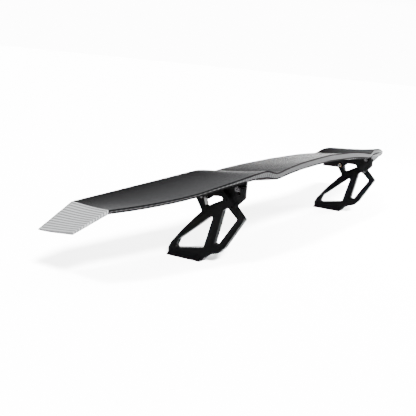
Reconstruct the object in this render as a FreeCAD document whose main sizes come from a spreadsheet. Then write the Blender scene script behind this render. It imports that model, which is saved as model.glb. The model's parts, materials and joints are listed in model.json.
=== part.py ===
"""Trunk-mounted racing rear wing: a carbon blade with stepped centre and bent-down tips, carried on two
machined uprights. The blade pitches about two front screws and is clamped through a curved slot.

Frame, in millimetres: +X across the car to the right, +Y forward, +Z up. The origin is on the deck surface,
midway between the two feet.
"""
import FreeCAD
import Part

import math
import os

import Sketcher

Vector = FreeCAD.Vector

# ---------------------------------------------------------------- driving dimensions
DIMENSIONS = {
    "upright_spacing": 800.0,
    "upright_thickness": 14.0,
    "gasket_thickness": 1.5,
    "foot_width": 26.0,
    "foot_length": 82.0,
    "foot_height": 13.5,
    "foot_top_length": 68.0,
    "foot_centre": 1.5,
    "stud_spacing": 50.0,
    "insert_radius": 4.5,
    "insert_length": 11.0,
    "thread_radius": 3.0,
    "edge_chamfer": 0.8,
    "corner_radius": 4.0,
    "window_radius": 3.0,
    "quadrant_thickness": 5.0,
    "bracket_thickness": 6.0,
    "bracket_gap": 0.5,
    "flange_thickness": 4.0,
    "flange_width": 30.0,
    "pivot_bolt_radius": 3.0,
    "pivot_head_radius": 4.6,
    "pivot_head_height": 3.6,
    "bush_radius": 4.2,
    "bush_flange_radius": 5.2,
    "bush_flange_height": 1.0,
    "pivot_running_gap": 0.05,
    "side_gap": 0.3,
    "clamp_bolt_radius": 3.0,
    "clamp_head_radius": 5.0,
    "clamp_head_height": 5.0,
    "clamp_washer_radius": 6.0,
    "clamp_washer_height": 1.2,
    "clamp_nut_radius": 5.5,
    "clamp_nut_height": 5.0,
    "slot_radius": 3.3,
    "slot_sweep_deg": 7.0,
    "quadrant_screw_radius": 2.0,
    "quadrant_screw_head_radius": 3.4,
    "quadrant_screw_head_height": 2.2,
    "quadrant_screw_length": 9.0,
    "skin_thickness": 1.5,
    "bond_gap": 0.1,
    "rib_thickness": 3.0,
    "hardpoint_length": 70.0,
    "flange_screw_radius": 2.5,
    "flange_screw_head_radius": 4.4,
    "flange_screw_head_height": 2.4,
    "flange_screw_seat_depth": 1.6,
    "flange_screw_length": 9.0,
}

# Named corners in the side view, (y, z). Each gets two cells, NAME_y and NAME_z.
CORNERS = {
    "toe": (42.0, 1.5), "instep": (43.0, 15.0), "shin_low": (36.5, 28.5), "shin_mid": (10.0, 62.0),
    "shin_high": (-21.0, 95.5), "knee": (-32.5, 107.0), "neck": (-17.0, 131.0), "crown_front": (-18.0, 143.0),
    "crown_rear": (-34.0, 147.5), "brow": (-77.0, 159.0), "nape": (-109.5, 127.5), "elbow": (-132.0, 105.0),
    "calf": (-92.0, 38.0), "heel": (-79.5, 25.0), "arch_rear": (-61.0, 19.0), "arch": (-49.0, 11.0),
    "foot_rear": (-41.0, 1.5),
    "main_front": (26.0, 18.5), "main_rear": (-43.0, 31.0), "main_top": (-61.0, 104.0),
    "main_shoulder": (-45.0, 91.5), "main_shin": (18.5, 37.5),
    "rear_top": (-92.0, 124.0), "rear_front": (-82.0, 117.0), "rear_toe": (-67.0, 43.5),
    "rear_heel": (-77.0, 43.0), "rear_elbow": (-116.0, 103.5),
    "eye_front": (-34.0, 139.5), "eye_top": (-74.0, 144.5), "eye_rear": (-81.0, 139.5),
    "eye_low": (-40.5, 118.0),
    "quad_low": (-72.0, 146.0), "quad_brow": (-80.0, 163.0), "quad_crest": (-98.0, 167.0),
    "quad_tail": (-118.5, 168.3), "quad_back": (-122.5, 164.0), "quad_hip": (-121.5, 144.0),
    "quad_foot": (-106.0, 128.0), "quad_inner": (-97.0, 120.0), "quad_under": (-84.0, 132.0),
    "plate_nose": (24.0, 128.0), "plate_keel": (-12.0, 129.0), "plate_chin": (-21.0, 129.5),
    "plate_lobe": (-34.0, 130.0), "plate_notch": (-52.0, 143.5), "plate_eye": (-74.0, 144.0),
    "plate_under": (-84.0, 134.0), "plate_foot": (-105.0, 129.0), "plate_hip": (-119.5, 144.5),
    "plate_tail": (-120.0, 190.0), "plate_top": (12.0, 176.0),
    "pivot": (-28.0, 136.0), "clamp": (-105.0, 163.0),
    "quad_screw_low": (-101.0, 126.5), "quad_screw_high": (-87.0, 139.5),
}

UPRIGHT = ["toe", "instep", "shin_low", "shin_mid", "shin_high", "knee", "neck", "crown_front", "crown_rear",
           "brow", "nape", "elbow", "calf", "heel", "arch_rear", "arch", "foot_rear"]
WINDOWS = [
    ["main_front", "main_rear", "main_top", "main_shoulder", "main_shin"],
    ["rear_top", "rear_front", "rear_toe", "rear_heel", "rear_elbow"],
    ["eye_front", "eye_top", "eye_rear", "eye_low"],
]
QUADRANT = ["quad_low", "quad_brow", "quad_crest", "quad_tail", "quad_back", "quad_hip", "quad_foot",
            "quad_inner", "quad_under"]
PLATE = ["plate_nose", "plate_keel", "plate_chin", "plate_lobe", "plate_notch", "plate_eye", "plate_under",
         "plate_foot", "plate_hip", "plate_tail", "plate_top"]

# Blade stations, from the middle to the fold of the tip: the x of the leading and trailing edge, their y and
# z, the thickness factor and the trailing edge's height.
STATIONS = [
    # x_le,  x_te,   y_le,   z_le,   y_te,   z_te, bulk, te
    (0.0, 0.0, 20.0, 177.0, -144.0, 211.0, 1.00, 16.0),
    (150.0, 150.0, 20.0, 175.5, -144.0, 206.5, 1.00, 15.5),
    (240.0, 236.0, 21.0, 172.5, -144.0, 200.0, 1.00, 14.5),
    (300.0, 296.0, 21.0, 170.0, -144.0, 194.0, 1.00, 13.5),
    (345.0, 340.0, 16.0, 179.0, -139.0, 201.0, 1.00, 15.0),
    (368.0, 371.0, 14.0, 181.0, -138.0, 199.5, 1.00, 12.5),
    (427.0, 433.0, 27.0, 174.0, -129.0, 191.0, 0.95, 9.0),
    (480.0, 490.0, 37.0, 168.0, -114.0, 180.5, 0.90, 7.0),
    (533.0, 545.0, 47.5, 162.0, -94.0, 168.5, 0.82, 6.5),
    (590.0, 605.0, 58.5, 155.5, -74.0, 160.5, 0.72, 6.5),
    (645.0, 680.0, 69.0, 149.5, -53.0, 155.5, 0.62, 6.5),
    (695.0, 738.0, 78.0, 144.0, -38.0, 154.0, 0.52, 6.5),
]
TIP = (757.0, 778.0, 100.0, 98.0, 4.0, 113.0, 0.16, 3.0)
STEP_STATION = 3          # the centre core ends at this station
NOSE_GAP = 0.020          # of the chord, ahead of the nose foam, where the skins meet
NOSE_SHARE = 0.30         # of the chord, ahead of the spar
SPAR_SHARE = 0.03
STRIP_SHARE = 0.035       # of the chord, the trailing edge strip
CURVE_POINTS = 14
NOSE_JOIN = 0.10          # where the two skins meet over the nose, as a square root of the chord share
UPPER_RISE = 16.0
LOWER_DROP = 52.0
UPPER_SAG = 4.5

SIDES = (("left", -1.0), ("right", 1.0))

doc = FreeCAD.newDocument("rear_wing")


# ---------------------------------------------------------------- the sheet
def make_sheet():
    """The driving dimensions and the named corners, one cell each, with an alias."""
    cells = doc.addObject("Spreadsheet::Sheet", "dims")
    values = dict(DIMENSIONS)
    for name, (y, z) in CORNERS.items():
        values[name + "_y"] = y
        values[name + "_z"] = z
    for row, (name, value) in enumerate(values.items(), start=1):
        cells.set("A%d" % row, name)
        cells.set("B%d" % row, str(value))
        cells.setAlias("B%d" % row, name)
    doc.recompute()
    return cells


sheet = make_sheet()


def cell(name):
    """The number in the cell with that alias."""
    return float(sheet.get(name))


def corner(name):
    return cell(name + "_y"), cell(name + "_z")


# ---------------------------------------------------------------- PartDesign helpers
def new_body(label):
    body = doc.addObject("PartDesign::Body", label)
    body.Label = label
    return body


def plane(body, role):
    return next(f for f in body.Origin.OriginFeatures if f.Role == role)


def new_sketch(body, name, role, offset):
    """A sketch on one of the body's origin planes, moved along its normal by an expression."""
    sketch = body.newObject("Sketcher::SketchObject", body.Label + "_" + name)
    sketch.AttachmentSupport = (plane(body, role), "")
    sketch.MapMode = "FlatFace"
    sketch.setExpression("AttachmentOffset.Base.z", offset)
    return sketch


def add_polygon(sketch, names):
    """A closed outline through named corners, each held by the sheet's two cells."""
    start = sketch.GeometryCount
    points = [Vector(*corner(n), 0) for n in names]
    for k, point in enumerate(points):
        sketch.addGeometry(Part.LineSegment(point, points[(k + 1) % len(points)]), False)
    for k, name in enumerate(names):
        before = start + (k - 1) % len(names)
        line = start + k
        sketch.addConstraint(Sketcher.Constraint("Coincident", before, 2, line, 1))
        for axis, suffix in (("DistanceX", "_y"), ("DistanceY", "_z")):
            index = sketch.addConstraint(Sketcher.Constraint(axis, -1, 1, line, 1, cell(name + suffix)))
            sketch.setExpression("Constraints[%d]" % index, "dims.%s%s" % (name, suffix))


def add_circle(sketch, centre, radius_cell):
    """A circle whose centre is a named corner and whose radius is a cell."""
    y, z = corner(centre)
    circle = sketch.addGeometry(Part.Circle(Vector(y, z, 0), Vector(0, 0, 1), cell(radius_cell)), False)
    index = sketch.addConstraint(Sketcher.Constraint("Radius", circle, cell(radius_cell)))
    sketch.setExpression("Constraints[%d]" % index, "dims." + radius_cell)
    for axis, suffix in (("DistanceX", "_y"), ("DistanceY", "_z")):
        index = sketch.addConstraint(Sketcher.Constraint(axis, -1, 1, circle, 3, cell(centre + suffix)))
        sketch.setExpression("Constraints[%d]" % index, "dims.%s%s" % (centre, suffix))


def pad(body, sketch, length, midplane=True, reverse=False):
    feature = body.newObject("PartDesign::Pad", sketch.Name + "_pad")
    feature.Profile = sketch
    feature.setExpression("Length", length)
    feature.Midplane = midplane
    feature.Reversed = reverse
    doc.recompute()
    return feature


def pocket(body, sketch, length, midplane=True, reverse=False):
    """A pocket that has to take material away."""
    before = body.Shape.Volume
    feature = body.newObject("PartDesign::Pocket", sketch.Name + "_pocket")
    feature.Profile = sketch
    feature.setExpression("Length", length)
    feature.Midplane = midplane
    feature.Reversed = reverse
    doc.recompute()
    if body.Shape.Volume > before - 1e-3:
        raise RuntimeError(sketch.Name + " cuts nothing")
    return feature


def edges_at(shape, names, tolerance=0.05):
    """The edges that run along X through the named corners."""
    found = []
    for number, edge in enumerate(shape.Edges, start=1):
        a, b = edge.Vertexes[0].Point, edge.Vertexes[-1].Point
        if abs(a.x - b.x) < 1.0 or math.hypot(a.y - b.y, a.z - b.z) > tolerance:
            continue
        for name in names:
            y, z = corner(name)
            if math.hypot(a.y - y, a.z - z) < tolerance:
                found.append("Edge%d" % number)
    return found


def round_corners(body, names, radius_cell):
    base = body.Tip
    feature = body.newObject("PartDesign::Fillet", body.Label + "_" + radius_cell)
    feature.Base = (base, edges_at(base.Shape, names))
    feature.setExpression("Radius", "dims." + radius_cell)
    body.Tip = feature
    doc.recompute()
    return feature


# ---------------------------------------------------------------- uprights and what is fixed to the deck
def side_offset(sign, expression):
    """An x position on one side of the car."""
    return ("" if sign > 0 else "-") + "(" + expression + ")"


UPRIGHT_X = "dims.upright_spacing / 2"
QUADRANT_X = UPRIGHT_X + " - dims.upright_thickness / 2 - dims.quadrant_thickness / 2"
PLATE_X = (UPRIGHT_X + " - dims.upright_thickness / 2 - dims.quadrant_thickness - dims.bracket_gap"
           " - dims.bracket_thickness / 2")


def plate_x():
    return (cell("upright_spacing") / 2 - cell("upright_thickness") / 2 - cell("quadrant_thickness")
            - cell("bracket_gap") - cell("bracket_thickness") / 2)


def foot_rectangle(body, name, sign, height, length_cell, width_expression, width):
    """A rectangle parallel to the deck, centred on the foot."""
    sketch = new_sketch(body, name, "XY_Plane", height)
    x = sign * cell("upright_spacing") / 2
    half_x, half_y = width / 2, cell(length_cell) / 2
    y = cell("foot_centre")
    points = [Vector(x - half_x, y - half_y, 0), Vector(x + half_x, y - half_y, 0),
              Vector(x + half_x, y + half_y, 0), Vector(x - half_x, y + half_y, 0)]
    for k, point in enumerate(points):
        sketch.addGeometry(Part.LineSegment(point, points[(k + 1) % 4]), False)
    for k in range(4):
        sketch.addConstraint(Sketcher.Constraint("Coincident", k, 2, (k + 1) % 4, 1))
    for k in (0, 2):
        sketch.addConstraint(Sketcher.Constraint("Horizontal", k))
        sketch.addConstraint(Sketcher.Constraint("Vertical", k + 1))
    bound = [
        ("DistanceX", (0, 1, 0, 2), width, width_expression),
        ("DistanceY", (1, 1, 1, 2), 2 * half_y, "dims." + length_cell),
        ("DistanceX", (-1, 1, 0, 1), x - half_x,
         side_offset(sign, UPRIGHT_X) + " - (" + width_expression + ") / 2"),
        ("DistanceY", (-1, 1, 0, 1), y - half_y, "dims.foot_centre - dims." + length_cell + " / 2"),
    ]
    for kind, where, value, expression in bound:
        index = sketch.addConstraint(Sketcher.Constraint(kind, *where, value))
        sketch.setExpression("Constraints[%d]" % index, expression)
    return sketch


def stud_circles(body, name, sign, radius_cell, height):
    """Two circles on the deck plane where the deck studs enter the foot."""
    sketch = new_sketch(body, name, "XY_Plane", height)
    for k, along in enumerate((-1.0, 1.0)):
        x = sign * cell("upright_spacing") / 2
        y = along * cell("stud_spacing") / 2
        sketch.addGeometry(Part.Circle(Vector(x, y, 0), Vector(0, 0, 1), cell(radius_cell)), False)
        bound = [
            (Sketcher.Constraint("Radius", k, cell(radius_cell)), "dims." + radius_cell),
            (Sketcher.Constraint("DistanceX", -1, 1, k, 3, x), side_offset(sign, UPRIGHT_X)),
            (Sketcher.Constraint("DistanceY", -1, 1, k, 3, y), side_offset(along, "dims.stud_spacing / 2")),
        ]
        for constraint, expression in bound:
            index = sketch.addConstraint(constraint)
            sketch.setExpression("Constraints[%d]" % index, expression)
    return sketch


def make_upright(side, sign):
    """The machined frame: outline, three windows, flared foot, tapped pivot and screw holes."""
    body = new_body("upright_" + side)
    outline = new_sketch(body, "outline", "YZ_Plane", side_offset(sign, UPRIGHT_X))
    add_polygon(outline, UPRIGHT)
    pad(body, outline, "dims.upright_thickness")
    foot = foot_rectangle(body, "foot", sign, "dims.gasket_thickness", "foot_length", "dims.foot_width",
                          cell("foot_width"))
    top = foot_rectangle(body, "foot_top", sign, "dims.gasket_thickness + dims.foot_height",
                         "foot_top_length", "dims.upright_thickness - 0.2", cell("upright_thickness") - 0.2)
    loft = body.newObject("PartDesign::AdditiveLoft", body.Label + "_flare")
    loft.Profile = foot
    loft.Sections = [top]
    loft.Ruled = True
    doc.recompute()
    round_corners(body, ["knee", "brow", "nape", "elbow", "calf", "heel", "instep"], "corner_radius")
    windows = new_sketch(body, "windows", "YZ_Plane", side_offset(sign, UPRIGHT_X))
    for names in WINDOWS:
        add_polygon(windows, names)
    pocket(body, windows, "dims.upright_thickness * 3")
    round_corners(body, [n for names in WINDOWS for n in names], "window_radius")
    holes = new_sketch(body, "holes", "YZ_Plane", side_offset(sign, UPRIGHT_X))
    add_circle(holes, "pivot", "pivot_bolt_radius")
    add_circle(holes, "quad_screw_low", "quadrant_screw_radius")
    add_circle(holes, "quad_screw_high", "quadrant_screw_radius")
    pocket(body, holes, "dims.upright_thickness * 2")
    studs = stud_circles(body, "studs", sign, "insert_radius", "dims.gasket_thickness")
    pocket(body, studs, "dims.insert_length", midplane=False, reverse=True)
    return body


def make_gasket(side, sign):
    body = new_body("base_gasket_" + side)
    outline = foot_rectangle(body, "outline", sign, "0", "foot_length", "dims.foot_width", cell("foot_width"))
    pad(body, outline, "dims.gasket_thickness", midplane=False)
    pocket(body, stud_circles(body, "studs", sign, "thread_radius", "0"), "dims.gasket_thickness * 2")
    return body


def make_inserts(side, sign):
    """Two steel thread inserts, pressed into the foot from below."""
    inserts = []
    for along in (-1.0, 1.0):
        x = sign * cell("upright_spacing") / 2
        y = along * cell("stud_spacing") / 2
        at = Vector(x, y, cell("gasket_thickness"))
        outer = Part.makeCylinder(cell("insert_radius"), cell("insert_length"), at)
        inserts.append(outer.cut(Part.makeCylinder(cell("thread_radius"), cell("insert_length"), at)))
    return plain_part("thread_inserts_" + side, Part.makeCompound(inserts))


def arc_slot(sketch, radius_cell):
    """The clamp slot: an arc about the pivot, from the clamp's rest place down by the sweep."""
    pivot_y, pivot_z = corner("pivot")
    clamp_y, clamp_z = corner("clamp")
    reach = math.hypot(clamp_y - pivot_y, clamp_z - pivot_z)
    start = math.atan2(clamp_z - pivot_z, clamp_y - pivot_y)
    end = start + math.radians(cell("slot_sweep_deg"))
    half = cell(radius_cell)
    normal = Vector(0, 0, 1)
    centre = Vector(pivot_y, pivot_z, 0)
    ends = [Vector(pivot_y + reach * math.cos(a), pivot_z + reach * math.sin(a), 0) for a in (start, end)]
    sketch.addGeometry(Part.ArcOfCircle(Part.Circle(centre, normal, reach + half), start, end), False)
    sketch.addGeometry(Part.ArcOfCircle(Part.Circle(ends[1], normal, half), end, end + math.pi), False)
    sketch.addGeometry(Part.ArcOfCircle(Part.Circle(centre, normal, reach - half), start, end), False)
    sketch.addGeometry(Part.ArcOfCircle(Part.Circle(ends[0], normal, half), start + math.pi, start), False)
    for first, last in (((0, 2), (1, 1)), ((1, 2), (2, 2)), ((2, 1), (3, 1)), ((3, 2), (0, 1))):
        sketch.addConstraint(Sketcher.Constraint("Coincident", *first, *last))
    sketch.addConstraint(Sketcher.Constraint("Coincident", 0, 3, 2, 3))
    for axis, suffix in (("DistanceX", "_y"), ("DistanceY", "_z")):
        for geometry, name in ((0, "pivot"), (3, "clamp")):
            index = sketch.addConstraint(Sketcher.Constraint(axis, -1, 1, geometry, 3, cell(name + suffix)))
            sketch.setExpression("Constraints[%d]" % index, "dims.%s%s" % (name, suffix))
    index = sketch.addConstraint(Sketcher.Constraint("Radius", 3, half))
    sketch.setExpression("Constraints[%d]" % index, "dims." + radius_cell)


def make_quadrant(side, sign):
    """The clamp plate on the upright's inboard face, with the curved slot."""
    body = new_body("quadrant_plate_" + side)
    outline = new_sketch(body, "outline", "YZ_Plane", side_offset(sign, QUADRANT_X))
    add_polygon(outline, QUADRANT)
    pad(body, outline, "dims.quadrant_thickness")
    round_corners(body, ["quad_tail", "quad_hip", "quad_foot"], "corner_radius")
    slot = new_sketch(body, "slot", "YZ_Plane", side_offset(sign, QUADRANT_X))
    arc_slot(slot, "slot_radius")
    pocket(body, slot, "dims.quadrant_thickness * 2")
    holes = new_sketch(body, "holes", "YZ_Plane", side_offset(sign, QUADRANT_X))
    add_circle(holes, "quad_screw_low", "quadrant_screw_radius")
    add_circle(holes, "quad_screw_high", "quadrant_screw_radius")
    pocket(body, holes, "dims.quadrant_thickness * 2")
    inner_face = cell("upright_spacing") / 2 - cell("upright_thickness") / 2 - cell("quadrant_thickness")
    heads = new_sketch(body, "heads", "YZ_Plane", side_offset(
        sign, UPRIGHT_X + " - dims.upright_thickness / 2 - dims.quadrant_thickness"))
    add_circle(heads, "quad_screw_low", "quadrant_screw_head_radius")
    add_circle(heads, "quad_screw_high", "quadrant_screw_head_radius")
    pocket(body, heads, "dims.quadrant_screw_head_height * 2 + 0.2")
    return inner_face


def plain_part(label, shape):
    feature = doc.addObject("Part::Feature", label)
    feature.Shape = shape
    feature.Label = label
    feature.Placement = FreeCAD.Placement()
    return feature


def along_x(sign, x, name, radius_cell_or_value, length):
    """A cylinder about a named corner. It starts at x and runs outboard for a positive length."""
    y, z = corner(name)
    radius = radius_cell_or_value if isinstance(radius_cell_or_value, float) else cell(radius_cell_or_value)
    return Part.makeCylinder(radius, abs(length), Vector(sign * x, y, z),
                             Vector(math.copysign(1.0, sign * length), 0, 0))


def hexagon_prism(sign, x, name, radius, length):
    """A hexagonal head or nut, its corners at the radius."""
    y, z = corner(name)
    points = [Vector(sign * x, y + radius * math.cos(math.radians(60 * k)),
                     z + radius * math.sin(math.radians(60 * k))) for k in range(7)]
    return Part.Face(Part.makePolygon(points)).extrude(Vector(sign * length, 0, 0))


def socket_head(sign, x, name, head_radius, head_height, socket_radius):
    """A round cap head that stands from x by its signed height, with a hexagon socket."""
    head = along_x(sign, x, name, head_radius, head_height)
    depth = math.copysign(0.55 * abs(head_height), head_height)
    socket = hexagon_prism(sign, x + head_height, name, socket_radius, -depth)
    return head.cut(socket)


def make_quadrant_screws(side, sign, inner_face):
    """Two short cap screws, sunk in the clamp plate and threaded into the upright."""
    screws = []
    height = cell("quadrant_screw_head_height")
    for name in ("quad_screw_low", "quad_screw_high"):
        seat = inner_face + height + 0.1
        head = socket_head(sign, seat, name, cell("quadrant_screw_head_radius") - 0.1, -height, 1.3)
        shank = along_x(sign, seat, name, "quadrant_screw_radius", cell("quadrant_screw_length"))
        screws.append(head.fuse(shank).removeSplitter())
    return plain_part("quadrant_screws_" + side, Part.makeCompound(screws))


def make_pivot(side, sign):
    """The pivot screw with its spacer, fixed in the upright, and the bush that turns on it."""
    plate_in = plate_x() - cell("bracket_thickness") / 2
    plate_out = plate_x() + cell("bracket_thickness") / 2
    flange = cell("bush_flange_height")
    face = cell("upright_spacing") / 2 - cell("upright_thickness") / 2
    gap = cell("pivot_running_gap")
    head_seat = plate_in - flange - cell("side_gap")
    head = socket_head(sign, head_seat, "pivot", cell("pivot_head_radius"), -cell("pivot_head_height"), 2.2)
    shank = along_x(sign, head_seat, "pivot", "pivot_bolt_radius",
                    face + cell("upright_thickness") - head_seat - 1.0)
    plain_part("pivot_screw_" + side, head.fuse(shank).removeSplitter())
    spacer_in = plate_out + cell("side_gap")
    spacer = along_x(sign, spacer_in, "pivot", "bush_flange_radius", face - spacer_in)
    spacer = spacer.cut(along_x(sign, spacer_in, "pivot", "pivot_bolt_radius", face - spacer_in))
    plain_part("pivot_spacer_" + side, spacer)
    bush = along_x(sign, plate_in, "pivot", "bush_radius", plate_out - plate_in)
    bush = bush.fuse(along_x(sign, plate_in, "pivot", "bush_flange_radius", -flange)).removeSplitter()
    bore = along_x(sign, plate_in - flange, "pivot", cell("pivot_bolt_radius") + gap,
                   plate_out - plate_in + flange)
    plain_part("pivot_bush_" + side, bush.cut(bore))


# ---------------------------------------------------------------- the blade's sections
def chord_point(station, share):
    """The point of a station's chord line at a share of the chord, from the leading edge."""
    x_le, x_te, y_le, z_le, y_te, z_te = station[:6]
    return Vector(x_le + (x_te - x_le) * share, y_le + (y_te - y_le) * share, z_le + (z_te - z_le) * share)


def surface_height(station, u):
    """Height of the skin over the chord line. u is the square root of the chord share, negative below."""
    bulk, edge = station[6], station[7]
    share = u * u
    if u >= 0:
        return bulk * (UPPER_RISE * (u - share) - 4 * UPPER_SAG * share * (1 - share))
    return -(bulk * LOWER_DROP * (-u - share) + edge * share)


def outer_point(station, u):
    point = chord_point(station, u * u)
    point.z += surface_height(station, u)
    return point


def inner_point(station, u, depth):
    """The point under the skin, along the section's own normal."""
    step = 0.004
    low, high = max(-1.0, u - step), min(1.0, u + step)
    along = outer_point(station, high) - outer_point(station, low)
    chord = chord_point(station, 1.0) - chord_point(station, 0.0)
    flat = Vector(chord.x, chord.y, 0).normalize()
    run, rise = along.dot(flat), along.z
    size = math.hypot(run, rise)
    shift = flat * (rise / size)
    shift.z = -run / size
    return outer_point(station, u) + shift * depth


def curve(points):
    spline = Part.BSplineCurve()
    spline.interpolate(points)
    return spline.toShape()


def spread(low, high, count=CURVE_POINTS):
    return [low + (high - low) * k / (count - 1) for k in range(count)]


def skin_wire(station, upper):
    """One skin's section, from the nose to the trailing edge and back along its inner face."""
    values = spread(NOSE_JOIN, 1.0 if upper else -1.0)
    outer = [outer_point(station, u) for u in values]
    inside = [u for u in values if upper or u == NOSE_JOIN or u < -0.02]
    inner = [inner_point(station, u, cell("skin_thickness")) for u in reversed(inside)]
    return Part.Wire([curve(outer), Part.makeLine(outer[-1], inner[0]), curve(inner),
                      Part.makeLine(inner[-1], outer[0])])


def between_wire(station, low_share, high_share):
    """The section of the room between the skins, from one chord share to another."""
    depth = cell("skin_thickness") + cell("bond_gap")
    low, high = math.sqrt(low_share), math.sqrt(high_share)
    upper = [inner_point(station, u, depth) for u in spread(low, high)]
    lower = [inner_point(station, u, depth) for u in spread(-high, -low)]
    return Part.Wire([curve(upper), Part.makeLine(upper[-1], lower[0]), curve(lower),
                      Part.makeLine(lower[-1], upper[0])])


def whole_wire(station):
    """The whole section, as the tips have, where there is no separate skin."""
    around = [outer_point(station, u) for u in spread(-1.0, 1.0, 2 * CURVE_POINTS - 1)]
    return Part.Wire([curve(around), Part.makeLine(around[-1], around[0])])


def mirrored(station):
    return (-station[0], -station[1]) + tuple(station[2:])


def span(first, last):
    """Stations from one side's index to the other's; a negative index is on the left."""
    left = [mirrored(s) for s in reversed(STATIONS[1:])]
    both = left + STATIONS
    middle = len(left)
    return both[middle + first:middle + last + 1]


def loft(wires):
    return Part.makeLoft(wires, True, True)


OUTER = len(STATIONS) - 1


def make_skins():
    """The two skins. The lower one has the holes for the bracket's screws."""
    upper, lower = (loft([skin_wire(s, top) for s in span(-OUTER, OUTER)]) for top in (True, False))
    plain_part("wing_upper_skin", upper)
    plain_part("wing_lower_skin", lower.cut([flange_screw_shapes(sign, True) for _, sign in SIDES]))


def side_span(sign, first, last):
    return span(first, last) if sign > 0 else span(-last, -first)


def hardpoint_box(sign):
    """The block of the blade's inside above a bracket."""
    width = cell("flange_width")
    x = plate_x() - width + cell("bracket_thickness") / 2
    low_x = x if sign > 0 else -x - width
    y = cell("clamp_y") + 15.0
    return Part.makeBox(width, cell("hardpoint_length"), 120.0, Vector(low_x, y, 110.0))


def rib_slab(sign):
    """The slice of the span that a step rib fills."""
    x = STATIONS[STEP_STATION + 1][0] - 20.0
    low_x = x if sign > 0 else -x - cell("rib_thickness")
    return Part.makeBox(cell("rib_thickness"), 400.0, 200.0, Vector(low_x, -250.0, 100.0))


def make_cores():
    """Foam ahead of and behind the spar, the spar, the trailing strip, the ribs and the hardpoints."""
    nose = loft([between_wire(s, NOSE_GAP, NOSE_SHARE) for s in span(-OUTER, OUTER)])
    plain_part("nose_core", nose)
    spar_end = NOSE_SHARE + SPAR_SHARE
    plain_part("main_spar", loft([between_wire(s, NOSE_SHARE, spar_end) for s in span(-OUTER, OUTER)]))
    plain_part("trailing_strip", loft([between_wire(s, 1 - STRIP_SHARE, 1.0) for s in span(-OUTER, OUTER)]))
    rear = loft([between_wire(s, spar_end, 1 - STRIP_SHARE) for s in span(-OUTER, OUTER)])
    blocks = {}
    for side, sign in SIDES:
        blocks["step_rib_" + side] = rear.common(rib_slab(sign))
        hard = rear.common(hardpoint_box(sign))
        blocks["hardpoint_" + side] = hard.cut(flange_screw_shapes(sign, True))
    taken = [rib_slab(sign) for _, sign in SIDES] + [hardpoint_box(sign) for _, sign in SIDES]
    foam = rear.cut(taken)
    names = {0: "rear_core_left", 1: "rear_core_centre", 2: "rear_core_right"}
    solids = sorted(foam.Solids, key=lambda piece: piece.CenterOfMass.x)
    if len(solids) != 3:
        raise RuntimeError("the rear foam has %d pieces" % len(solids))
    for k, piece in enumerate(solids):
        plain_part(names[k], piece)
    for label, shape in blocks.items():
        plain_part(label, shape)


def make_winglets():
    for side, sign in SIDES:
        pair = [STATIONS[-1], TIP]
        if sign < 0:
            pair = [mirrored(s) for s in reversed(pair)]
        plain_part("winglet_" + side, loft([whole_wire(s) for s in pair]))


# ---------------------------------------------------------------- the blade's brackets and clamps
FLANGE_SCREW_PLACES = ((-18.0, -60.0), (-18.0, -82.0))   # from the plate's middle, inboard, and y


def station_under(x):
    """The station between its two neighbours, at an x on the right side."""
    for first, second in zip(STATIONS, STATIONS[1:]):
        if first[0] <= x <= second[0]:
            share = (x - first[0]) / (second[0] - first[0])
            return tuple(a + (b - a) * share for a, b in zip(first, second))
    raise ValueError("no station at %g" % x)


def underside(x, y):
    """Height of the blade's underside."""
    station = station_under(x)
    share = (station[2] - y) / (station[2] - station[4])
    return outer_point(station, -math.sqrt(share)).z


def flange_screw_shapes(sign, holes):
    """Two screws up through the bracket's flange into the hardpoint, or the holes for them."""
    shapes = []
    for inboard, y in FLANGE_SCREW_PLACES:
        x = plate_x() + inboard
        z = underside(x, y) - cell("flange_thickness")
        at = Vector(sign * x, y, z)
        radius = cell("flange_screw_radius")
        length = cell("flange_thickness") + cell("flange_screw_length")
        shank = Part.makeCylinder(radius, length, at)
        if holes:
            seat_radius = cell("flange_screw_head_radius") + 0.2
            seat = Part.makeCylinder(seat_radius, 9.0, at + Vector(0, 0, cell("flange_screw_seat_depth") - 9.0))
            shapes.append(shank.fuse(seat))
            continue
        lift = cell("flange_screw_seat_depth") - cell("flange_screw_head_height")
        head_at = at + Vector(0, 0, lift)
        head = Part.makeCylinder(cell("flange_screw_head_radius"), cell("flange_screw_head_height"), head_at)
        socket = Part.makeCylinder(1.6, 1.4, head_at)
        top_of_head = at + Vector(0, 0, cell("flange_screw_seat_depth"))
        rest = length - cell("flange_screw_seat_depth")
        shapes.append(head.cut(socket).fuse(Part.makeCylinder(radius, rest, top_of_head)))
    return Part.makeCompound([s.removeSplitter() for s in shapes])


def blade_block(sign):
    """The blade's outer shape near a bracket."""
    return loft([whole_wire(s) for s in side_span(sign, STEP_STATION, STEP_STATION + 4)])


def make_bracket(side, sign):
    """The rib under the blade: a tall plate and a flange that follows the underside."""
    points = [Vector(0, *corner(n)) for n in PLATE]
    face = Part.Face(Part.makePolygon(points + points[:1]))
    thickness = cell("bracket_thickness")
    face.translate(Vector(sign * plate_x() - thickness / 2, 0, 0))
    plate = face.extrude(Vector(thickness, 0, 0))
    blade = blade_block(sign)
    lowered = blade.copy()
    lowered.translate(Vector(0, 0, -cell("flange_thickness")))
    width = cell("flange_width")
    inner = plate_x() + thickness / 2 - width
    low_x = inner if sign > 0 else -inner - width
    footprint = Part.makeBox(width, 112.0, 120.0, Vector(low_x, -120.0, 100.0))
    flange = lowered.common(footprint)
    blade.translate(Vector(0, 0, -cell("bond_gap")))
    body = plate.fuse(flange).cut(blade)
    solid = max(body.Solids, key=lambda piece: piece.Volume).removeSplitter()
    bush_hole = along_x(sign, plate_x() - thickness, "pivot", "bush_radius", 2 * thickness)
    clamp_hole = along_x(sign, plate_x() - thickness, "clamp", "clamp_bolt_radius", 2 * thickness)
    solid = solid.cut([bush_hole, clamp_hole, flange_screw_shapes(sign, True)])
    return plain_part("wing_bracket_" + side, solid)


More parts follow.
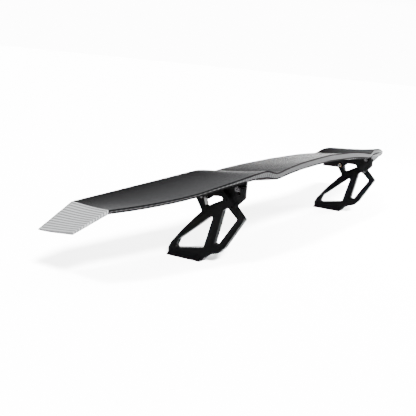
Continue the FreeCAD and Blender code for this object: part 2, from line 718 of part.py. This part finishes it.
def make_clamp(side, sign):
    """The clamp bolt through slot and bracket, its washer and its nut."""
    plate_in = plate_x() - cell("bracket_thickness") / 2
    outer = cell("upright_spacing") / 2 - cell("upright_thickness") / 2
    washer = cell("clamp_washer_height")
    clear = cell("side_gap")
    ring = along_x(sign, outer + clear, "clamp", "clamp_washer_radius", washer)
    hole = along_x(sign, outer + clear, "clamp", "clamp_bolt_radius", washer)
    plain_part("clamp_washer_" + side, ring.cut(hole))
    seat = outer + clear + washer
    head = socket_head(sign, seat, "clamp", cell("clamp_head_radius"), cell("clamp_head_height"), 2.5)
    nut_height = cell("clamp_nut_height")
    shank = along_x(sign, plate_in - nut_height - 1.5, "clamp", "clamp_bolt_radius",
                    seat - plate_in + nut_height + 1.5)
    plain_part("clamp_bolt_" + side, head.fuse(shank).removeSplitter())
    nut = hexagon_prism(sign, plate_in, "clamp", cell("clamp_nut_radius"), -nut_height)
    bore = along_x(sign, plate_in, "clamp", "clamp_bolt_radius", -nut_height)
    plain_part("clamp_nut_" + side, nut.cut(bore))


# ---------------------------------------------------------------- build, check and write
def make_all():
    for side, sign in SIDES:
        make_upright(side, sign)
        make_gasket(side, sign)
        make_inserts(side, sign)
        inner_face = make_quadrant(side, sign)
        make_quadrant_screws(side, sign, inner_face)
        make_pivot(side, sign)
        make_bracket(side, sign)
        plain_part("flange_screws_" + side, flange_screw_shapes(sign, False))
        make_clamp(side, sign)
    make_skins()
    make_cores()
    make_winglets()
    doc.recompute()


def sub_parts():
    return [o for o in doc.Objects if o.TypeId in ("PartDesign::Body", "Part::Feature")]


def check():
    for item in doc.Objects:
        if "Invalid" in item.State or "Error" in item.State:
            raise RuntimeError(item.Label + " failed: " + ", ".join(item.State))
    for item in sub_parts():
        if item.Shape.isNull() or not item.Shape.isValid():
            raise RuntimeError(item.Label + " has no valid shape")


def write():
    os.makedirs("parts", exist_ok=True)
    for item in sub_parts():
        item.Shape.exportStep(os.path.join("parts", item.Label + ".step"))
        print("%-24s %9.1f mm3, %d solids" % (item.Label, item.Shape.Volume, len(item.Shape.Solids)))


make_all()
check()
write()
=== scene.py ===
"""The rear wing in the studio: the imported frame, the blade's fine outer surfaces and the finishes."""

import json
import math

import bpy
from mathutils import Matrix, Vector


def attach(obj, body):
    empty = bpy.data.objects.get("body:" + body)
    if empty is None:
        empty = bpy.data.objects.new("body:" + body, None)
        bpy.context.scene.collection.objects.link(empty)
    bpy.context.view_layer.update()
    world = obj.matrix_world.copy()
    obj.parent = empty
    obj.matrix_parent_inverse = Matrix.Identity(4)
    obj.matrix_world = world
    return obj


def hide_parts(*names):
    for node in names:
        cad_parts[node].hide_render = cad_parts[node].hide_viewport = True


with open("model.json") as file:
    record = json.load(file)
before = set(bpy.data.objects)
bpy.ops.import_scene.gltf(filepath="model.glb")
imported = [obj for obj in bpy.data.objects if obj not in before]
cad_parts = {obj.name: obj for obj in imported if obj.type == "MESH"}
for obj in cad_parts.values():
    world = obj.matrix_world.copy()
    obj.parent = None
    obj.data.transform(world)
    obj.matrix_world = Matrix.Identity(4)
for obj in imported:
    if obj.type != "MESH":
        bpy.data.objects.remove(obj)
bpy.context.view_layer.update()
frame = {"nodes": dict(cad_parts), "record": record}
nodes = frame["nodes"]

# ---------------------------------------------------------------- the blade's shape, in millimetres
# Half-span stations: x, y and z of the leading edge, x, y and z of the trailing edge, thickness
# factor and trailing edge height.
STATIONS = [
    (0.0, 20.0, 177.0, 0.0, -144.0, 211.0, 1.00, 16.0),
    (150.0, 20.0, 175.5, 150.0, -144.0, 206.5, 1.00, 15.5),
    (240.0, 21.0, 172.5, 236.0, -144.0, 200.0, 1.00, 14.5),
    (300.0, 21.0, 170.0, 296.0, -144.0, 194.0, 1.00, 13.5),
    (345.0, 16.0, 179.0, 340.0, -139.0, 201.0, 1.00, 15.0),
    (368.0, 14.0, 181.0, 371.0, -138.0, 199.5, 1.00, 12.5),
    (427.0, 27.0, 174.0, 433.0, -129.0, 191.0, 0.95, 9.0),
    (480.0, 37.0, 168.0, 490.0, -114.0, 180.5, 0.90, 7.0),
    (533.0, 47.5, 162.0, 545.0, -94.0, 168.5, 0.82, 6.5),
    (590.0, 58.5, 155.5, 605.0, -74.0, 160.5, 0.72, 6.5),
    (645.0, 69.0, 149.5, 680.0, -53.0, 155.5, 0.62, 6.5),
    (695.0, 78.0, 144.0, 738.0, -38.0, 154.0, 0.52, 6.5),
]
TIP = (757.0, 100.0, 98.0, 778.0, 4.0, 113.0, 0.16, 3.0)
# The section's size at a thickness factor of 1. A quarter of the way along the chord, the upper face
# rises by a quarter of UPPER_RISE and the lower face drops by a quarter of LOWER_DROP. At mid-chord
# the upper face sags by UPPER_SAG.
UPPER_RISE = 16.0
LOWER_DROP = 52.0
UPPER_SAG = 4.5
# The skins' thickness. EDGE_EXTRA deepens the trailing edge, so that the skins' edges show, painted
# dark as shade.
SKIN = 3.2
EDGE_EXTRA = 1.5
# The share of the chord that the trailing strip fills between the skins.
STRIP_SHARE = 0.035
# How fine the meshes are: steps from one station to the next, points across one face of a section,
# points across one face of the strip, and steps along a tip.
STEPS_BETWEEN = 6
POINTS_AROUND = 40
STRIP_POINTS = 3
TIP_STEPS = 8
# The square root of the chord share at about mid-chord, where the weave's length is measured, and
# the small step to each side that gives a section's direction.
MID_CHORD = 0.7
SMALL_STEP = 0.004
# Faces that meet at a larger angle than this, in degrees, keep a sharp corner.
SHARP_ANGLE = 30
METRES_PER_MM = 0.001


def slopes(values, places):
    """Monotone slopes at each place, for smooth curves that never overshoot."""
    rises = [(b - a) / (q - p) for a, b, p, q in zip(values, values[1:], places, places[1:])]
    inner = [0.0 if a * b <= 0 else 2 * a * b / (a + b) for a, b in zip(rises, rises[1:])]
    return [0.0] + inner + [rises[-1]]


def smooth_stations():
    """The stations with smooth ones between them, over the right half."""
    places = [s[0] for s in STATIONS]
    columns = list(zip(*STATIONS))
    tilts = [slopes(column, places) for column in columns]
    made = []
    for k in range(len(places) - 1):
        gap = places[k + 1] - places[k]
        for step in range(STEPS_BETWEEN):
            t = step / STEPS_BETWEEN
            row = []
            for column, tilt in zip(columns, tilts):
                a, b = column[k], column[k + 1]
                ends = (2 * t ** 3 - 3 * t ** 2 + 1) * a + (3 * t ** 2 - 2 * t ** 3) * b
                start_turn = (t ** 3 - 2 * t ** 2 + t) * gap * tilt[k]
                end_turn = (t ** 3 - t ** 2) * gap * tilt[k + 1]
                row.append(ends + (start_turn + end_turn))
            made.append(tuple(row))
    return made + [STATIONS[-1]]


def mirrored(station):
    """The same station on the other half."""
    return (-station[0], station[1], station[2], -station[3]) + tuple(station[4:])


def between(a, b, share):
    """A station between two others."""
    return tuple(p + (q - p) * share for p, q in zip(a, b))


def outer_point(station, u):
    """A point of the section. u is the square root of the chord share, negative below."""
    x_le, y_le, z_le, x_te, y_te, z_te, bulk, edge = station
    share = u * u
    if u >= 0:
        height = bulk * (UPPER_RISE * (u - share) - 4 * UPPER_SAG * share * (1 - share))
    else:
        height = -(bulk * LOWER_DROP * (-u - share) + (edge + EDGE_EXTRA) * share)
    return Vector((x_le + (x_te - x_le) * share, y_le + (y_te - y_le) * share,
                   z_le + (z_te - z_le) * share + height))


def inner_point(station, u):
    """The point under the skin, along the section's own normal."""
    low, high = max(-1.0, u - SMALL_STEP), min(1.0, u + SMALL_STEP)
    along = outer_point(station, high) - outer_point(station, low)
    flat = Vector((station[3] - station[0], station[4] - station[1], 0.0)).normalized()
    run, rise = along.dot(flat), along.z
    size = math.hypot(run, rise)
    normal = flat * (rise / size) + Vector((0, 0, -run / size))
    return outer_point(station, u) + normal * SKIN


def spread(low, high, count):
    """Evenly spaced values from low to high."""
    return [low + (high - low) * k / (count - 1) for k in range(count)]


def lofted(name, rings, ring_lengths, shares, painted_shade_side=None):
    """A closed mesh through rings of points, with two uv maps: metres along the span and the chord
    for the weave, and the chord share of each point, from the leading edge, which sets the painted
    shade. The side of the rings given last, such as a cut edge of the laminate, takes the leading
    edge's painted shade."""
    size = len(rings[0])
    points = [tuple(p * METRES_PER_MM) for ring in rings for p in ring]
    faces = []
    for k in range(len(rings) - 1):
        for j in range(size):
            n = (j + 1) % size
            faces.append((k * size + j, k * size + n, (k + 1) * size + n, (k + 1) * size + j))
    faces.append(tuple(reversed(range(size))))
    faces.append(tuple((len(rings) - 1) * size + j for j in range(size)))
    mesh = bpy.data.meshes.new(name)
    mesh.from_pydata(points, [], faces)
    mesh.uv_layers.new(name="weave")
    mesh.uv_layers.new(name="chord")
    layer, chord = mesh.uv_layers["weave"], mesh.uv_layers["chord"]
    for polygon in mesh.polygons:
        for loop in polygon.loop_indices:
            vertex = mesh.loops[loop].vertex_index
            layer.data[loop].uv = (ring_lengths[vertex // size], -points[vertex][1])
            # The cut edge takes share 0, so it is painted as dark as the nose, as painted shade.
            dark = polygon.index % size == painted_shade_side
            chord.data[loop].uv = (0.0 if dark else shares[vertex % size], 0.0)
    mesh.update()
    mesh.validate()
    made = bpy.data.objects.new(name, mesh)
    bpy.context.scene.collection.objects.link(made)
    return made


def shade(made):
    """Smooth faces, with the sharp corners kept."""
    for polygon in made.data.polygons:
        polygon.use_smooth = True
    made.data.set_sharp_from_angle(angle=math.radians(SHARP_ANGLE))


def span_lengths(stations):
    """The distance along the span at mid-chord, so that the weave isn't stretched."""
    middles = [outer_point(s, MID_CHORD) for s in stations]
    total = [0.0]
    for a, b in zip(middles, middles[1:]):
        total.append(total[-1] + (b - a).length * METRES_PER_MM)
    half = total[-1] / 2
    return [t - half for t in total]


def skin_values(upper):
    """The places around one skin: the outer face, then the inner face back to the nose."""
    values = spread(0.0, 1.0 if upper else -1.0, POINTS_AROUND)
    return values, list(reversed(values))


def skin_ring(station, upper):
    """One skin's section."""
    values, back = skin_values(upper)
    outer = [outer_point(station, u) for u in values]
    inner = [inner_point(station, u) for u in back]
    return outer + inner


def strip_ring(station):
    """The trailing strip's section, between the skins."""
    low = math.sqrt(1 - STRIP_SHARE)
    upper = [inner_point(station, u) for u in spread(low, 1.0, STRIP_POINTS)]
    lower = [inner_point(station, u) for u in spread(-1.0, -low, STRIP_POINTS)]
    return upper + lower


def whole_values():
    """The places around a whole section: the lower face from the trailing edge, then the upper."""
    return spread(-1.0, 1.0, 2 * POINTS_AROUND - 1)


def make_blade():
    """The two skins, the trailing strip and the tips, each in place of its node of the frame."""
    right = smooth_stations()
    stations = [mirrored(s) for s in reversed(right[1:])] + right
    lengths = span_lengths(stations)
    pieces = []
    for label, upper in (("upper", True), ("lower", False)):
        values, back = skin_values(upper)
        shares = [u * u for u in values + back]
        rings = [skin_ring(s, upper) for s in stations]
        # The skin's cut edge along the trailing edge is painted dark, as painted shade.
        made = lofted("blade_%s_skin" % label, rings, lengths, shares, painted_shade_side=len(values) - 1)
        pieces.append((made, "wing_%s_skin" % label, "carbon_skin"))
    rings = [strip_ring(s) for s in stations]
    made = lofted("blade_trailing_strip", rings, lengths, [1.0] * len(rings[0]))
    pieces.append((made, "trailing_strip", "edge_weave"))
    shares = [u * u for u in whole_values()]
    for side, flip in (("left", True), ("right", False)):
        path = [between(STATIONS[-1], TIP, t / TIP_STEPS) for t in range(TIP_STEPS + 1)]
        if flip:
            path = [mirrored(s) for s in reversed(path)]
        rings = [[outer_point(s, u) for u in whole_values()] for s in path]
        made = lofted("tip_" + side, rings, span_lengths(path), shares)
        pieces.append((made, "winglet_" + side, "tip_weave"))
    for made, node, slot in pieces:
        shade(made)
        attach(made, "wing")
        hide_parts(node)
    return pieces


# ---------------------------------------------------------------- finishes
# A two-by-two twill repeats after four tows. Of the steps 0 to 3, those below TWILL_OVER lie on top.
TWILL_REPEAT = 4.0
TWILL_OVER = 1.5
# The relief of a tow's crown, in metres.
TOW_CROWN = 0.00003
# How much a plain finish's roughness varies, and a weave's for its smoother and rougher tows.
CLOUD_GLOSS = 0.05
SMOOTH_TOW = 0.04
ROUGH_TOW = 0.06
# The detail of the noise in a plain finish.
CLOUD_DETAIL = 3.0
# The mix node's numbered sockets: two inputs and the output, for numbers and for colours.
NUMBER_A, NUMBER_B, NUMBER_OUT = 2, 3, 0
COLOUR_A, COLOUR_B, COLOUR_OUT = 6, 7, 2


class Nodes:
    """A small helper to write one material's nodes."""

    def __init__(self, name):
        self.material = bpy.data.materials.new(name)
        self.material.use_nodes = True
        self.tree = self.material.node_tree
        self.shader = self.tree.nodes["Principled BSDF"]

    def add(self, kind, **values):
        made = self.tree.nodes.new(kind)
        for key, value in values.items():
            setattr(made, key, value)
        return made

    def link(self, out, into):
        self.tree.links.new(out, into)

    def math(self, operation, a, b=None):
        """One sum, of sockets or numbers."""
        made = self.add("ShaderNodeMath", operation=operation)
        for socket, value in zip(made.inputs, (a, b)):
            if value is None:
                continue
            if isinstance(value, (int, float)):
                socket.default_value = value
            else:
                self.link(value, socket)
        return made.outputs[0]

    def mix(self, factor, a, b):
        """A colour between two colours."""
        made = self.add("ShaderNodeMix", data_type="RGBA")
        self.link(factor, made.inputs["Factor"])
        made.inputs[COLOUR_A].default_value = (*a, 1.0)
        made.inputs[COLOUR_B].default_value = (*b, 1.0)
        return made.outputs[COLOUR_OUT]

    def ramp(self, value, low, high):
        """A value from 0 to 1 brought between two others."""
        made = self.add("ShaderNodeMapRange")
        self.link(value, made.inputs["Value"])
        made.inputs["To Min"].default_value = low
        made.inputs["To Max"].default_value = high
        return made.outputs["Result"]

    def noise(self, scale):
        """A cloudy value from 0 to 1 that rides on the object."""
        place = self.add("ShaderNodeTexCoord").outputs["Object"]
        made = self.add("ShaderNodeTexNoise")
        self.link(place, made.inputs["Vector"])
        made.inputs["Scale"].default_value = scale
        made.inputs["Detail"].default_value = CLOUD_DETAIL
        return made.outputs["Fac"]

    def bump(self, height, distance):
        """Relief of a height from 0 to 1, over a distance in metres."""
        made = self.add("ShaderNodeBump")
        made.inputs["Strength"].default_value = 1.0
        made.inputs["Distance"].default_value = distance
        self.link(height, made.inputs["Height"])
        self.link(made.outputs["Normal"], self.shader.inputs["Normal"])


def surface(name, dark, light, rough, scale, specular, metal=0.0, bump=0.0):
    """A plain finish with slight cloudiness in its colour, its gloss and its relief."""
    made = Nodes(name)
    cloud = made.noise(scale)
    made.link(made.mix(cloud, dark, light), made.shader.inputs["Base Color"])
    gloss = made.ramp(cloud, rough - CLOUD_GLOSS, rough + CLOUD_GLOSS)
    made.link(gloss, made.shader.inputs["Roughness"])
    made.shader.inputs["Metallic"].default_value = metal
    made.shader.inputs["Specular IOR Level"].default_value = specular
    if bump:
        made.bump(cloud, bump)
    return made.material


def weave(name, warp, weft, tow, rough, specular, bias=False, painted_nose_shade=1.0):
    """A two-by-two twill of tows in two shades, each tow as wide as tow, in metres. On the bias, its
    diagonals run along the chord. The last argument is painted shade and sheen: the colour grows
    darker towards the leading edge, down to that share of itself at the nose."""
    made = Nodes(name)
    place = made.add("ShaderNodeUVMap", uv_map="weave").outputs["UV"]
    parts = made.add("ShaderNodeSeparateXYZ")
    made.link(place, parts.inputs[0])
    along = made.math("DIVIDE", parts.outputs["X"], tow)
    across = made.math("DIVIDE", parts.outputs["Y"], tow)
    if bias:
        half = math.sqrt(0.5)
        turned = made.math("MULTIPLY", made.math("ADD", along, across), half)
        across = made.math("MULTIPLY", made.math("SUBTRACT", across, along), half)
        along = turned
    steps = made.math("SUBTRACT", made.math("FLOOR", along), made.math("FLOOR", across))
    phase = made.math("FLOORED_MODULO", steps, TWILL_REPEAT)
    over = made.math("LESS_THAN", phase, TWILL_OVER)
    colour = made.mix(over, warp, weft)
    chord = made.add("ShaderNodeUVMap", uv_map="chord").outputs["UV"]
    share = made.add("ShaderNodeSeparateXYZ")
    made.link(chord, share.inputs[0])
    # Painted shade and sheen: the colour is scaled down towards the leading edge.
    painted_shade_tone = made.ramp(share.outputs["X"], painted_nose_shade, 1.0)
    shaded = made.add("ShaderNodeVectorMath", operation="SCALE")
    made.link(colour, shaded.inputs[0])
    made.link(painted_shade_tone, shaded.inputs["Scale"])
    made.link(shaded.outputs[0], made.shader.inputs["Base Color"])
    gloss = made.ramp(over, rough - SMOOTH_TOW, rough + ROUGH_TOW)
    made.link(gloss, made.shader.inputs["Roughness"])
    crown_a = made.math("ABSOLUTE", made.math("SINE", made.math("MULTIPLY", along, math.pi)))
    crown_b = made.math("ABSOLUTE", made.math("SINE", made.math("MULTIPLY", across, math.pi)))
    height = made.add("ShaderNodeMix", data_type="FLOAT")
    made.link(over, height.inputs["Factor"])
    made.link(crown_a, height.inputs[NUMBER_A])
    made.link(crown_b, height.inputs[NUMBER_B])
    made.shader.inputs["Specular IOR Level"].default_value = specular
    made.bump(height.outputs[NUMBER_OUT], TOW_CROWN)
    return made.material


WEAVES = {
    # The skins carry painted shade and sheen, darker towards the leading edge.
    "carbon_skin": dict(warp=(0.0045, 0.0046, 0.0048), weft=(0.0095, 0.0097, 0.010),
                        tow=0.0022, rough=0.28, specular=0.0002, painted_nose_shade=0.12),
    "edge_weave": dict(warp=(0.007, 0.0071, 0.0074), weft=(0.019, 0.0193, 0.0197),
                       tow=0.0018, rough=0.4, specular=0.002),
    "tip_weave": dict(warp=(0.022, 0.0225, 0.023), weft=(0.056, 0.057, 0.058),
                      tow=0.0021, rough=0.45, specular=0.001, bias=True),
}
PLAIN_FINISHES = {
    "anodised_frame": dict(dark=(0.0003, 0.0003, 0.00033), light=(0.0006, 0.0006, 0.00066),
                           rough=0.26, scale=90, bump=0.00002, specular=0.004),
    "black_plate": dict(dark=(0.0004, 0.0004, 0.00045), light=(0.0013, 0.0013, 0.0014),
                        rough=0.33, scale=300, bump=0.00003, specular=0.006),
    "screw_steel": dict(dark=(0.008, 0.008, 0.0085), light=(0.02, 0.02, 0.021),
                        rough=0.3, metal=0.6, scale=200, bump=0.00002, specular=0.1),
    "spacer_metal": dict(dark=(0.01, 0.01, 0.01), light=(0.025, 0.025, 0.025),
                         rough=0.35, metal=0.5, scale=200, specular=0.2),
    "bush_bronze": dict(dark=(0.08, 0.05, 0.02), light=(0.13, 0.085, 0.04),
                        rough=0.4, metal=0.9, scale=200, specular=0.2),
    "zinc_insert": dict(dark=(0.12, 0.12, 0.11), light=(0.2, 0.2, 0.18),
                        rough=0.4, metal=0.9, scale=200, specular=0.2),
    "gasket_rubber": dict(dark=(0.001, 0.001, 0.001), light=(0.002, 0.002, 0.002),
                          rough=0.8, scale=300, bump=0.00005, specular=0.04),
    "core_foam": dict(dark=(0.20, 0.17, 0.10), light=(0.28, 0.24, 0.15),
                      rough=0.9, scale=500, bump=0.0002, specular=0.1),
    "spar_laminate": dict(dark=(0.003, 0.003, 0.003), light=(0.008, 0.008, 0.008),
                          rough=0.5, scale=300, specular=0.1),
}


def make_materials():
    """One finish per slot. The studio is bright, so the blacks are very dark."""
    made = {slot: weave(slot, **values) for slot, values in WEAVES.items()}
    made.update({slot: surface(slot, **values) for slot, values in PLAIN_FINISHES.items()})
    return made


def paint(pieces, materials):
    """Each node of the frame gets its slot's finish, and so does each of the blade's fine pieces."""
    slots = {entry["node"]: entry["material_slot"] for entry in frame["record"]["subparts"]}
    painted = [(made, slots[name]) for name, made in nodes.items()]
    painted += [(made, slot) for made, node, slot in pieces]
    for made, slot in painted:
        made.data.materials.clear()
        made.data.materials.append(materials[slot])


# ---------------------------------------------------------------- studio, in metres
# The sky's strength at the horizon and overhead, and the heights, out of 1, where it starts and ends
# its change.
HORIZON = 13.0
OVERHEAD = 0.08
CHANGE_START = 0.06
CHANGE_END = 0.20
# Half the floor's width, and how far it lies under the feet, which keeps the two faces apart.
FLOOR_REACH = 14.0
FLOOR_DROP = 0.0002
# The distant lights: name, direction, strength and softness in degrees.
SUNS = [
    ("key", (1.02, 1.0, -1.0), 60.0, 9.0),
    ("side", (0.95, 0.0, -1.0), 22.0, 8.0),
    ("fill", (0.1, 0.2, -1.0), 3.0, 70.0),
]
# The camera's place, and its own right, up and back directions.
CAMERA_PLACE = (-1.8414, -0.8501, 0.4429)
CAMERA_RIGHT = (0.50120, -0.86131, 0.08331)
CAMERA_UP = (0.12869, 0.16940, 0.97711)
CAMERA_BACK = (-0.85571, -0.47901, 0.19575)


def make_floor():
    """A wide pale floor."""
    mesh = bpy.data.meshes.new("floor")
    reach = FLOOR_REACH
    corners = [(-reach, -reach, 0), (reach, -reach, 0), (reach, reach, 0), (-reach, reach, 0)]
    mesh.from_pydata(corners, [], [(0, 1, 2, 3)])
    floor = bpy.data.objects.new("floor", mesh)
    bpy.context.scene.collection.objects.link(floor)
    floor.location.z = -FLOOR_DROP
    mesh.materials.append(surface("floor_paint", (0.86, 0.86, 0.86), (0.88, 0.88, 0.88), 0.9,
                                  scale=2.0, specular=0.0))
    return floor


def add_lamp(name, place, target, size, power):
    """A rectangular soft light."""
    light = bpy.data.lights.new(name, "AREA")
    light.shape = "RECTANGLE"
    light.size = size[0]
    light.size_y = size[1]
    light.energy = power
    made = bpy.data.objects.new(name, light)
    made.location = place
    made.rotation_euler = (Vector(target) - Vector(place)).to_track_quat("-Z", "Y").to_euler()
    bpy.context.scene.collection.objects.link(made)


def add_sun(name, direction, strength, softness):
    """A broad distant light that shines along the direction."""
    light = bpy.data.lights.new(name, "SUN")
    light.energy = strength
    light.angle = math.radians(softness)
    made = bpy.data.objects.new(name, light)
    made.rotation_euler = Vector(direction).to_track_quat("-Z", "Y").to_euler()
    bpy.context.scene.collection.objects.link(made)


def make_world():
    """White at the horizon and dark overhead, so that the blade's top stays dark."""
    world = bpy.data.worlds.new("studio")
    world.use_nodes = True
    tree = world.node_tree
    background = tree.nodes["Background"]
    place = tree.nodes.new("ShaderNodeTexCoord")
    parts = tree.nodes.new("ShaderNodeSeparateXYZ")
    height = tree.nodes.new("ShaderNodeMapRange")
    tree.links.new(place.outputs["Generated"], parts.inputs[0])
    tree.links.new(parts.outputs["Z"], height.inputs["Value"])
    height.inputs["From Min"].default_value = CHANGE_START
    height.inputs["From Max"].default_value = CHANGE_END
    height.inputs["To Min"].default_value = HORIZON
    height.inputs["To Max"].default_value = OVERHEAD
    tree.links.new(height.outputs["Result"], background.inputs["Strength"])
    background.inputs["Color"].default_value = (1.0, 1.0, 1.0, 1.0)
    bpy.context.scene.world = world


def make_camera():
    """The camera at the rear left, above the deck. Its directions are the columns of its turn."""
    camera = bpy.data.cameras.new("camera")
    camera.lens = 70.46
    camera.sensor_width = 36.0
    camera.clip_end = 100.0
    camera.shift_x = -0.0006
    camera.shift_y = 0.0012
    made = bpy.data.objects.new("camera", camera)
    turn = Matrix((CAMERA_RIGHT, CAMERA_UP, CAMERA_BACK)).transposed().to_4x4()
    made.matrix_world = Matrix.Translation(CAMERA_PLACE) @ turn
    bpy.context.scene.collection.objects.link(made)
    bpy.context.scene.camera = made


paint(make_blade(), make_materials())
make_floor()
make_world()
make_camera()
for name, direction, strength, softness in SUNS:
    add_sun(name, direction, strength, softness)
add_lamp("far_edge", place=(1.15, -0.75, 0.35), target=(0.62, -0.10, 0.2), size=(0.5, 0.3),
         power=130.0)
